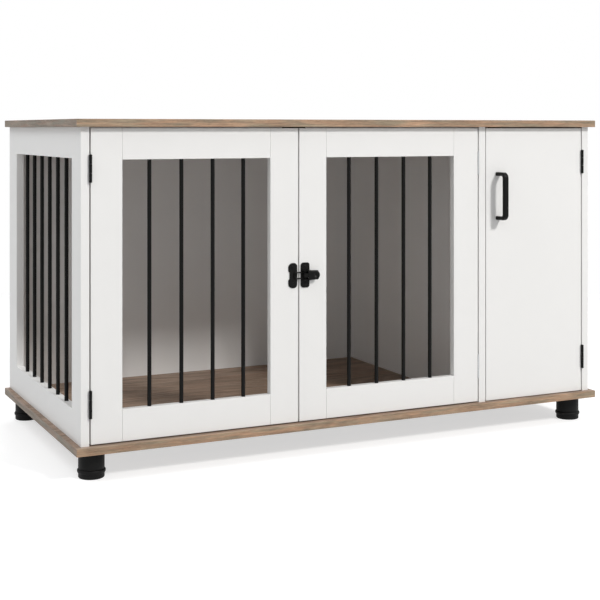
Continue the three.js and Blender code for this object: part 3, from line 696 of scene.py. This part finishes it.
# The sides of a board that meet its neighbours, and are drawn out by the clearance to touch them.
# The rails of the doors aren't, because their joints show as fine lines.
MEETING_SIDES = {
    "back_panel": ((-1, 0, -1), (1, 0, 1)),
    "divider_panel": ((0, 0, -1), (0, 1, 1)),
    "left_side_panel": ((0, 0, -1), (0, 0, 1)),
    "right_side_panel": ((0, 0, -1), (0, 0, 1)),
    "storage_shelf": ((-1, 0, 0), (1, 1, 0)),
}


def make_board(name, slot):
    low, high = box_of(name)
    if name in MEETING_SIDES:
        low, high = np.array([low, high]) + CLEARANCE * np.array(MEETING_SIDES[name])
    if name == "left_side_panel":
        bar_low, bar_high = box_of("side_bar_1")
        window_low = (low[0], low[1] + SIDE_STILE_FRONT, bar_low[2] + BAR_SOCKET)
        window_high = (high[0], high[1] - SIDE_STILE_REAR, bar_high[2] - BAR_SOCKET)
        shape = window_board(low, high, window_low, window_high, BOARD_EASE[slot])
    else:
        shape = board(low, high, BOARD_EASE[slot])
    body = next((door for door in DOORS if name.startswith(door)), "cabinet")
    add_piece(f"{name}_eased", [shape], slot, body, [name])


def make_boards():
    for row in FRAME["record"]["subparts"]:
        if row["material_slot"] in BOARD_EASE:
            make_board(row["node"], row["material_slot"])


def make_back_screws():
    """A row of small screws that hold the back panel to the divider's rear edge."""
    low, high = box_of("back_panel")
    x = sum(box_of("divider_panel"))[0] / 2
    rows = np.linspace(low[2] + BACK_SCREW_INSET, high[2] - BACK_SCREW_INSET, BACK_SCREWS)
    heads = [screw_head((x, high[1] - SCREW_SINK, z), (0, 1, 0), BACK_SCREW) for z in rows]
    add_piece("back_panel_screws", heads, "zinc_metal", "cabinet")


# ---- Bars ----


def make_bar(name, body):
    low, high = box_of(name)
    x, y = (low + high)[:2] / 2
    shape = rod((x, y, low[2]), (x, y, high[2]), (high - low)[0] / 2, BAR_EASE)
    add_piece(f"{name}_smooth", [shape], "black_metal", body, [name])


def make_bars():
    for i in range(SIDE_BARS):
        make_bar(f"side_bar_{i + 1}", "cabinet")
    for door in ("left_door", "middle_door"):
        for i in range(DOOR_BARS):
            make_bar(f"{door}_bar_{i + 1}", door)


# ---- Hinges ----


def leaf_outline(near, notched, far, low, high, notches):
    """A leaf's outline in Y and Z: its near edge steps back by the knuckles' notches."""
    line = [(far, low), (far, high)]
    marks = sorted({low, high, *[end for notch in notches for end in notch]}, reverse=True)
    for top, bottom in zip(marks, marks[1:]):
        cut = any(a <= bottom and top <= b for a, b in notches)
        depth = notched if cut else near
        line += [(depth, top), (depth, bottom)]
    radii = [LEAF_CORNER, LEAF_CORNER] + [0] * (len(line) - 2)
    return fillet(line, radii, True)


def make_hinge(name, door, axis, panel_side, slot):
    """Both leaves of a hinge. The panel lies on the side given, -1 for left and 1 for right."""
    low, high = box_of(f"{name}_fixed_leaf")
    radius = axis[1] - low[1]
    third = (high[2] - low[2] - 2 * CLEARANCE) / 3
    ends = (low[2] + third, high[2] - third)
    far = high[1]
    notched = axis[1] + radius + CLEARANCE

    def knuckle(start, end):
        return rod((*axis[:2], start), (*axis[:2], end), radius, KNUCKLE_EASE, 40)

    def leaf(side, notches):
        outline = leaf_outline(axis[1], notched, far, low[2], high[2], notches)
        x = axis[0] + CLEARANCE if side > 0 else axis[0] - CLEARANCE - LEAF_THICKNESS
        flat = plate(outline, LEAF_THICKNESS, LEAF_EASE, (x, 0, 0), (0, 1, 0), (0, 0, 1))
        face = axis[0] + side * (CLEARANCE - LEAF_SCREW_PROUD)
        rows = (low[2] + LEAF_SCREW_INSET, (low[2] + high[2]) / 2, high[2] - LEAF_SCREW_INSET)
        places = [(face, far - LEAF_SCREW_SETBACK, z) for z in rows]
        return [flat, *(screw_head(at, (-side, 0, 0), LEAF_SCREW) for at in places)]

    def pin_end(z, way):
        dome = arc((0, 0), 1, 0, 90, 6) * (radius * PIN_HEAD_SHARE, PIN_HEAD_HEIGHT)
        return turned([(0, 0), *dome], (*axis[:2], z), (*axis[:2], z + way), 24)

    fixed = leaf(panel_side, [ends])
    fixed += [knuckle(low[2], ends[0]), knuckle(ends[1], high[2])]
    fixed += [pin_end(low[2], -1), pin_end(high[2], 1)]
    add_piece(f"{name}_fixed", fixed, slot, "cabinet", [f"{name}_fixed_leaf"])
    lower_notch = (low[2], ends[0] + CLEARANCE)
    upper_notch = (ends[1] - CLEARANCE, high[2])
    moving = leaf(-panel_side, [lower_notch, upper_notch])
    moving.append(knuckle(lower_notch[1], upper_notch[0]))
    add_piece(f"{name}_moving", moving, slot, door, [f"{name}_moving_leaf"])


def make_hinges():
    slots = ("black_metal", "zinc_metal", "black_metal")
    for door, side, slot in zip(DOORS, (-1, 1, 1), slots):
        for place in ("lower", "upper"):
            axis = joint_place(f"{door}_hinge")
            make_hinge(f"{door}_{place}_hinge", door, axis, side, slot)


# ---- Pull of the storage door ----


def make_pull():
    """A strap with eased corners carried out from the door, along its height and back in, and
    the two screws that hold it at the back of the door."""
    low, high = box_of("storage_pull")
    x = (low[0] + high[0]) / 2
    half_width = (high[0] - low[0]) / 2
    half = PULL_THICKNESS / 2
    front, bottom, top = low[1] + half, low[2] + half, high[2] - half
    corners = [(high[1], bottom), (front, bottom), (front, top), (high[1], top)]
    path = np.insert(fillet(corners, PULL_BEND, False, 14), 0, x, axis=1)
    strap = swept(rounded_box(half_width, half, PULL_EASE, 5), path, (1, 0, 0))
    add_piece("pull_strap", [strap], "black_metal", "storage_door", ["storage_pull"])
    back = box_of("storage_door")[1][1]
    heads = [screw_head((x, back, z), (0, 1, 0), PULL_SCREW) for z in (bottom, top)]
    add_piece("pull_screws", heads, "zinc_metal", "storage_door")


# ---- Toggle latch ----
# Places on it are u, away from the seam to the right, v, out from the doors' faces, and w, up from
# its middle.


def latch_frame():
    """The latch's origin on the doors' faces, and its pivots in u, v and w."""
    right_low = box_of("latch_base_plate")[0]
    left_high = box_of("latch_keeper")[1]
    face = box_of("storage_door")[0][1]
    fulcrum, bail = joint_place("latch_lever_hinge"), joint_place("latch_bail_pivot")
    origin = np.array([(right_low[0] + left_high[0]) / 2, face, fulcrum[2]])
    return origin, (fulcrum - origin) * (1, -1, 0), (bail - origin) * (1, -1, 0)


LATCH_ORIGIN, FULCRUM, BAIL_PIVOT = latch_frame()
U, V, W = np.array([1.0, 0, 0]), np.array([0, -1.0, 0]), np.array([0, 0, 1.0])
PLATE_TOP = CLEARANCE + LATCH_PLATE_THICKNESS


def on_latch(u, v, w):
    return LATCH_ORIGIN + u * U + v * V + w * W


def latch_plate(side, near_radius, far_radius):
    """A plate with round corners and a waist on the edge away from the seam, and two screws."""
    near = abs(box_of("latch_base_plate")[0][0] - LATCH_ORIGIN[0])
    far = near + LATCH_PLATE_WIDTH
    low, high = box_of("latch_keeper")
    half = (high[2] - low[2]) / 2
    waist = LATCH_WAIST_HEIGHT / 2
    shallow = far - LATCH_WAIST_DEPTH
    corners = [(near, -half), (far, -half), (far, -waist - LATCH_WAIST_DEPTH), (shallow, -waist)]
    corners += [(a, -b) for a, b in reversed(corners)]
    radii = [near_radius, far_radius, LATCH_WAIST_CORNER, LATCH_WAIST_CORNER]
    outline = fillet([(side * a, b) for a, b in corners], radii + radii[::-1], True)
    flat = plate(outline, LATCH_PLATE_THICKNESS, LATCH_EASE, on_latch(0, CLEARANCE, 0), U, W)
    middle = side * (near + far) / 2
    places = [on_latch(middle, PLATE_TOP, way * LATCH_SCREW_RISE) for way in (-1, 1)]
    return [flat] + [screw_head(at, V, LATCH_SCREW) for at in places]


def standing_plate(outline, w_low, w_high):
    """A plate square to the doors' faces, its outline drawn in u and v."""
    return plate(outline, w_high - w_low, STANDING_EASE, on_latch(0, 0, w_high), U, V)


def make_latch_base():
    """The plate, and two ears that each hold a pin for the lever."""
    ear_radius = FULCRUM[1] - PLATE_TOP - 2 * CLEARANCE
    ear_radius = min(ear_radius, BAIL_PIVOT[0] - FULCRUM[0] - WIRE_RADIUS - CLEARANCE)
    foot = PLATE_TOP - LATCH_PLATE_THICKNESS / 2
    ear = [
        (FULCRUM[0] - ear_radius, foot),
        (FULCRUM[0] + ear_radius, foot),
        *arc(FULCRUM[:2], ear_radius, 0, 180, 16),
    ]
    inner = LEG_HALF_SPACING + WIRE_RADIUS + CLEARANCE
    outer = inner + EAR_THICKNESS
    pin_end = outer + 3 * CLEARANCE + SHEET_THICKNESS
    shapes = latch_plate(1, *LATCH_BASE_RADII)
    for side in (-1, 1):
        shapes.append(standing_plate(ear, *sorted((side * inner, side * outer))))
        start = on_latch(*FULCRUM[:2], side * (inner + FULCRUM_PIN_OVERLAP))
        end = on_latch(*FULCRUM[:2], side * pin_end)
        shapes.append(rod(start, end, FULCRUM_PIN_RADIUS, FULCRUM_PIN_EASE, 24))
    add_piece("latch_base", shapes, "black_metal", "middle_door", ["latch_base_plate"])


def lever_sheet(start_u, tip_u, half_width, top, bottom):
    """The lever's pressed sheet. Across it runs down one flange, round a bend, over the web and
    down the other flange. Along it the sheet narrows, and the flanges keep their depth up to the
    knee and then grow shallower. Its end bulges by LEVER_BULGE * (1 - (w / half width)^2), and
    the web has a dish near it: depth * (1 - (r / radius)^2)^2."""
    bend = LEVER_BEND
    turn = np.radians(np.linspace(0, 90, BEND_POINTS))
    web = np.linspace(-half_width + bend, half_width - bend, WEB_POINTS)[1:-1]
    drop = np.linspace(1, 0, FLANGE_POINTS)[:-1]
    rim_w = -half_width + bend * (1 - np.cos(turn))
    rim_v = -bend * (1 - np.sin(turn))
    w = np.concatenate([-half_width + 0 * drop, rim_w, web, -rim_w[::-1], half_width + 0 * drop])
    v = np.concatenate([0 * drop, rim_v, 0 * web, rim_v[::-1], 0 * drop])
    depth_share = np.concatenate([drop, 0 * rim_w, 0 * web, 0 * rim_w, drop[::-1]])
    along = np.linspace(0, 1, LEVER_POINTS)[:, None]
    end_u = tip_u - LEVER_BULGE
    reach = end_u + LEVER_BULGE * (1 - (w / half_width) ** 2)
    u = start_u + along * (reach - start_u)
    on_web = np.abs(w) < half_width - bend
    w = w * (1 - LEVER_TAPER * np.clip(2 * along, 0, 1))
    knee = FULCRUM[0] + LEVER_KNEE
    lower = bottom + LEVER_RISE * np.clip((u - knee) / (end_u - knee), 0, 1)
    v = top + np.where(depth_share > 0, -bend - depth_share * (top - bend - lower), v)
    dish = np.hypot(u - (tip_u - LEVER_DISH_SETBACK), w) / LEVER_DISH_RADIUS
    v = v - on_web * LEVER_DISH_DEPTH * np.clip(1 - dish**2, 0, 1) ** 2
    points = u[..., None] * U + v[..., None] * V + w[..., None] * W + LATCH_ORIGIN
    return sheet(points[:, ::-1], SHEET_THICKNESS)


def make_latch_lever():
    """The pressed sheet, and at its pivot two round cheeks and the tongue between them."""
    low, high = box_of("latch_lever")
    top = LATCH_ORIGIN[1] - low[1]
    half_width = (high[2] - low[2]) / 2
    tip = high[0] - LATCH_ORIGIN[0]
    bottom = PLATE_TOP + 2 * CLEARANCE
    pin_u, pin_v = FULCRUM[:2]
    web_start = pin_u + LEVER_WEB_START
    lap = web_start + CHEEK_LAP
    cheek = [
        *arc((pin_u, pin_v), top - pin_v, 90, 240, 20),
        (pin_u + CHEEK_FOOT, bottom),
        (lap, bottom + CHEEK_LIFT),
        (lap, top - CHEEK_CORNER[1]),
        (lap - CHEEK_CORNER[0], top),
    ]
    tongue = [
        (pin_u - TONGUE_TAIL, -TONGUE_HALF_WIDTH),
        (web_start + TONGUE_LAP, -TONGUE_HALF_WIDTH),
        (web_start + TONGUE_LAP, TONGUE_HALF_WIDTH),
        (pin_u - TONGUE_TAIL, TONGUE_HALF_WIDTH),
    ]
    outline = fillet(tongue, [TONGUE_CORNER, 0, 0, TONGUE_CORNER], True, 6)
    under = on_latch(0, top - SHEET_THICKNESS + TONGUE_MARGIN, 0)
    shapes = [
        lever_sheet(web_start, tip, half_width, top, bottom),
        plate(outline, SHEET_THICKNESS - 2 * TONGUE_MARGIN, TONGUE_EASE, under, U, W),
    ]
    faces = (half_width - SHEET_THICKNESS + CHEEK_MARGIN, half_width - CHEEK_MARGIN)
    for side in (-1, 1):
        shapes.append(standing_plate(cheek, *sorted((side * faces[0], side * faces[1]))))
    add_piece("latch_lever_smooth", shapes, "black_metal", "latch_lever", ["latch_lever"])


def make_latch_bail():
    """One wire bent to a loop: out of each cheek, along the two legs and behind the hook."""
    low, high = box_of("latch_bail")
    end_w = (high[2] - low[2]) / 2
    cross_u = low[0] - LATCH_ORIGIN[0] + WIRE_RADIUS
    cross_v = PLATE_TOP + WIRE_RADIUS + 2 * CLEARANCE
    pivot, cross = BAIL_PIVOT[:2], (cross_u, cross_v)
    corners = [(*pivot, end_w), (*pivot, LEG_HALF_SPACING), (*cross, LEG_HALF_SPACING)]
    corners += [(u, v, -w) for u, v, w in reversed(corners)]
    radii = [0, PIVOT_BEND, WIRE_BEND, WIRE_BEND, PIVOT_BEND, 0]
    line = fillet([on_latch(*corner) for corner in corners], radii, False, 10)
    square = unit(np.cross(on_latch(*cross, 0) - on_latch(*pivot, 0), W))
    section = arc((0, 0), WIRE_RADIUS, 0, 360, 20)[:-1]
    wire = swept(section, line, square)
    add_piece("latch_bail_smooth", [wire], "black_metal", "latch_bail", ["latch_bail"])


def make_latch_keeper():
    """The plate, and a strip that lies on it and turns up into the leaning hook."""
    top = LATCH_ORIGIN[1] - box_of("latch_keeper")[0][1]
    half = HOOK_THICKNESS / 2
    root = -HOOK_ROOT + half
    shift = math.tan(math.radians(HOOK_LEAN)) * (top - half - PLATE_TOP)
    ends = on_latch(root, PLATE_TOP - HOOK_SINK, 0), on_latch(root - shift, top, 0)
    hook = swept(rounded_box(HOOK_HALF_WIDTH, half, HOOK_EASE, 4), np.linspace(*ends, 10), W)
    shapes = latch_plate(-1, *LATCH_KEEPER_RADII) + [hook]
    add_piece("latch_keeper_smooth", shapes, "black_metal", "left_door", ["latch_keeper"])


# ---- Catches and strike plates ----


def make_catch(name, strikes):
    """A plastic case with two steel strips at its face opposite each strike plate."""
    low, high = box_of(name)
    case = board(low, high, CASE_EASE)
    add_piece(f"{name}_case", [case], "black_plastic", "cabinet", [name])
    strips = []
    for strike in strikes:
        x = sum(box_of(strike))[0] / 2
        for z in (low[2] + STRIP_INSET, high[2] - STRIP_INSET - STRIP_HEIGHT):
            front = (x - STRIP_HALF_LENGTH, low[1] - STRIP_PROUD, z)
            rear = (x + STRIP_HALF_LENGTH, low[1] + STRIP_DEPTH, z + STRIP_HEIGHT)
            strips.append(board(front, rear, STRIP_EASE))
    add_piece(f"{name}_strips", strips, "steel_plate", "cabinet")


def make_strike(name, door):
    """A plate with round corners on the back of a door, and its screw."""
    low, high = box_of(name)
    corners = [(-low[0], low[2]), (-high[0], low[2]), (-high[0], high[2]), (-low[0], high[2])]
    outline = fillet(corners, STRIKE_CORNER, True)
    thickness = high[1] - low[1]
    flat = plate(outline, thickness, STRIKE_EASE, (0, low[1], 0), (-1, 0, 0), (0, 0, 1))
    x, _, z = (low + high) / 2
    head = screw_head((x, high[1] - SCREW_SINK, z), (0, 1, 0), STRIKE_SCREW)
    add_piece(f"{name}_plate", [flat, head], "steel_plate", door, [name])


def make_catches():
    make_catch("crate_door_catch", ["left_door_strike", "middle_door_strike"])
    make_catch("storage_door_catch", ["storage_door_strike"])
    for door in DOORS:
        make_strike(f"{door}_strike", door)


# ---- Feet ----


def thread(x, y, low, high, sides=36):
    """A screw thread: the radius rises and falls with height / pitch + angle / full turn."""
    angle = np.linspace(0, 2 * np.pi, sides, endpoint=False)
    height = np.linspace(low, high, int((high - low) / THREAD_PITCH * THREAD_ROWS))[:, None]
    phase = height / THREAD_PITCH + angle / (2 * np.pi)
    wave = 0.5 - 0.5 * np.cos(2 * np.pi * phase)
    radius = STUD_RADIUS - THREAD_DEPTH * wave
    around = [x + radius * np.cos(angle), y + radius * np.sin(angle), height + 0 * angle]
    return skin(np.stack(around, -1))


def make_foot(name):
    """A turned socket, and a glide whose collar is half an ellipse and whose stud is threaded."""
    socket_name, glide_name = f"{name}_foot_socket", f"{name}_foot_glide"
    low, high = box_of(socket_name)
    glide_low, glide_high = box_of(glide_name)
    x, y = (low + high)[:2] / 2
    radius = (high - low)[0] / 2
    bore = STUD_RADIUS + CLEARANCE
    bore_top = glide_high[2] + BORE_SPARE
    rim, edge = SOCKET_RIM_EASE, SOCKET_TOP_EASE
    profile = [
        (0, bore_top),
        (bore, bore_top),
        (bore, low[2] + BORE_CHAMFER),
        (bore + BORE_CHAMFER, low[2]),
        *arc((radius - rim, low[2] + rim), rim, -90, 0, 5),
        *arc((radius - edge, high[2] - edge), edge, 0, 90, 4),
        (0, high[2]),
    ]
    socket = turned(profile, (x, y, 0), (x, y, 1), FOOT_SIDES)
    add_piece(f"{socket_name}_smooth", [socket], "black_plastic", "cabinet", [socket_name])

    shoulder, top = low[2] - CLEARANCE, glide_high[2]
    collar_proud = (glide_high - glide_low)[0] / 2 - radius
    collar = arc((0, 0), 1, -90, 90, 16) * (collar_proud, COLLAR_HALF_HEIGHT)
    collar += (radius, shoulder - COLLAR_HALF_HEIGHT)
    base = arc((radius - GLIDE_EASE, GLIDE_EASE), GLIDE_EASE, -90, 0)
    profile = [(0, 0), *base, *collar, (STUD_CORE, shoulder), (STUD_CORE, top), (0, top)]
    glide = turned(profile, (x, y, 0), (x, y, 1), FOOT_SIDES)
    shapes = [glide, thread(x, y, shoulder + THREAD_INSETS[0], top - THREAD_INSETS[1])]
    add_piece(f"{glide_name}_smooth", shapes, "black_plastic", f"{name}_glide", [glide_name])


# ---- Stage: floor, backdrop, lamps and camera ----
# Lengths here are in metres, and a lamp's power is in watts.

FLOOR_HALF_SIZE = 40.0
FLOOR_GREY = 0.55
FLOOR_LIFT = 0.6  # added to the floor's own light where it is seen
FLOOR_FADE = (0.9, 2.4)  # from the origin to where the floor begins to turn white and is white
WORLD_STRENGTH = 0.46
WHITE = (1, 1, 1, 1)
WARM_LIGHT = (1.0, 0.985, 0.965)
COOL_LIGHT = (0.98, 0.99, 1.0)

# Each lamp's target, its way from there, its distance, width, height, power and colour
LAMPS = {
    "key": ((0, -0.29, 0.37), (0.48, -1.0, 0.87), 9.0, 1.2, 1.3, 545.0, WARM_LIGHT),
    "fill": ((0, 0, 0.37), (-0.62, -0.1, 0.78), 4.0, 2.0, 2.0, 57.0, COOL_LIGHT),
    "rear": ((0, 0.3, 0.37), (0.25, 1.0, 0.75), 5.0, 2.0, 2.0, 85.0, COOL_LIGHT),
}


def seen_directly(tree):
    """1 for rays from the camera, mirrors and glass, and 0 for the light that falls on things."""
    path = node(tree, "ShaderNodeLightPath")
    first = maths(tree, "MAXIMUM", path.outputs["Is Camera Ray"], path.outputs["Is Glossy Ray"])
    return maths(tree, "MAXIMUM", first, path.outputs["Is Transmission Ray"])


def make_floor():
    """A pale floor that keeps the shadow near the object and fades to white away from it."""
    mesh = bpy.data.meshes.new("floor")
    signs = ((-1, -1), (1, -1), (1, 1), (-1, 1))
    corners = [(a * FLOOR_HALF_SIZE, b * FLOOR_HALF_SIZE, 0) for a, b in signs]
    mesh.from_pydata(corners, [], [(0, 1, 2, 3)])
    add_object("floor", mesh)

    material = bpy.data.materials.new("floor")
    material.use_nodes = True
    tree = material.node_tree
    tree.nodes.clear()
    place = node(tree, "ShaderNodeTexCoord").outputs["Object"]
    away = node(tree, "ShaderNodeVectorMath", {0: place}, operation="LENGTH").outputs["Value"]
    far = spread(tree, away, *FLOOR_FADE)
    grey = (FLOOR_GREY, FLOOR_GREY, FLOOR_GREY, 1)
    plain = node(tree, "ShaderNodeBsdfDiffuse", {"Color": grey}).outputs[0]
    lift, white = (
        node(tree, "ShaderNodeEmission", {"Color": WHITE, "Strength": strength}).outputs[0]
        for strength in (FLOOR_LIFT, 1.0)
    )
    near = node(tree, "ShaderNodeAddShader", {0: plain, 1: lift}).outputs[0]
    seen = node(tree, "ShaderNodeMixShader", {0: far, 1: near, 2: white}).outputs[0]
    whole = node(tree, "ShaderNodeMixShader", {0: seen_directly(tree), 1: plain, 2: seen})
    node(tree, "ShaderNodeOutputMaterial", {0: whole.outputs[0]})
    mesh.materials.append(material)


def make_world():
    """White where it is seen, and a softer light for everything that it falls on."""
    world = bpy.data.worlds.new("studio")
    world.use_nodes = True
    bpy.context.scene.world = world
    tree = world.node_tree
    tree.nodes.clear()
    soft, white = (
        node(tree, "ShaderNodeBackground", {"Color": colour, "Strength": strength}).outputs[0]
        for colour, strength in (((*COOL_LIGHT, 1), WORLD_STRENGTH), (WHITE, 1.0))
    )
    both = node(tree, "ShaderNodeMixShader", {0: seen_directly(tree), 1: soft, 2: white})
    node(tree, "ShaderNodeOutputWorld", {0: both.outputs[0]})


def make_lamp(name, target, towards, distance, width, height, power, colour):
    """A flat lamp at a distance from its target, facing it."""
    data = bpy.data.lights.new(name, "AREA")
    data.shape = "RECTANGLE"
    data.size = width
    data.size_y = height
    data.energy = power
    data.color = colour
    lamp = add_object(name, data)
    way = Vector(towards).normalized()
    lamp.location = Vector(target) + way * distance
    lamp.rotation_euler = way.to_track_quat("Z", "Y").to_euler()


def make_camera():
    data = bpy.data.cameras.new("camera")
    data.sensor_width = 36.0
    data.lens = data.sensor_width * CAMERA_FOCAL_PX / CAMERA_FRAME_PX
    data.shift_y = (CAMERA_HORIZON_PX - CAMERA_FRAME_PX / 2) / CAMERA_FRAME_PX
    camera = add_object("camera", data)
    camera.location = CAMERA_PLACE
    camera.rotation_euler = (math.pi / 2, 0, -math.radians(CAMERA_HEADING))
    bpy.context.scene.camera = camera


# ---- The whole scene ----

make_camera()
make_world()
make_floor()
for name, lamp in LAMPS.items():
    make_lamp(name, *lamp)
make_boards()
make_back_screws()
make_bars()
make_hinges()
make_pull()
make_latch_base()
make_latch_lever()
make_latch_bail()
make_latch_keeper()
make_catches()
for corner in ("front_left", "front_right", "back_left", "back_right"):
    make_foot(corner)
bpy.context.scene.view_settings.view_transform = "Standard"
